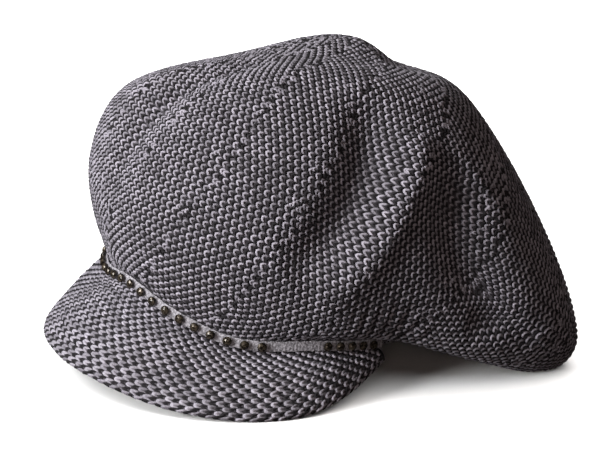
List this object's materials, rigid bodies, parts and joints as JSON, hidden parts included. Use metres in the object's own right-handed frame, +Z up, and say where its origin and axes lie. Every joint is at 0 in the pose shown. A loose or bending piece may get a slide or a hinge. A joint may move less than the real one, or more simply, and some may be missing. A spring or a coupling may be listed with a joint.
{
  "type": "knitted newsboy cap",
  "caption": "Knitted newsboy cap with a full crown that droops to the back and side, a short stiff peak, and a beaded ribbon along the peak's seam.",
  "frame": {"origin": "on the surface that the cap lies on, under the middle of its length and width", "axes": "+Z up, -Y the way the peak points, +X the wearer's left"},
  "size_m": [0.2614, 0.3022, 0.172],
  "materials": {
    "knit": "matt two-colour wool knit, light grey and black stitches in turn, slightly fuzzy",
    "ribbon": "narrow light grey ribbon, soft satin",
    "bead": "dark bronze, faceted, glossy"
  },
  "bodies": {
    "root": {"bead_01": "bead", "bead_02": "bead", "bead_03": "bead", "bead_04": "bead", "bead_05": "bead", "bead_06": "bead", "bead_07": "bead", "bead_08": "bead", "bead_09": "bead", "bead_10": "bead", "bead_11": "bead", "bead_12": "bead", "bead_13": "bead", "bead_14": "bead", "bead_15": "bead", "bead_16": "bead", "bead_17": "bead", "bead_18": "bead", "bead_19": "bead", "bead_20": "bead", "bead_21": "bead", "bead_22": "bead", "bead_23": "bead", "bead_24": "bead", "bead_25": "bead", "bead_26": "bead", "bead_27": "bead", "crown": "knit", "head_band": "knit", "peak": "knit", "trim_ribbon": "ribbon"}
  },
  "joints": []
}
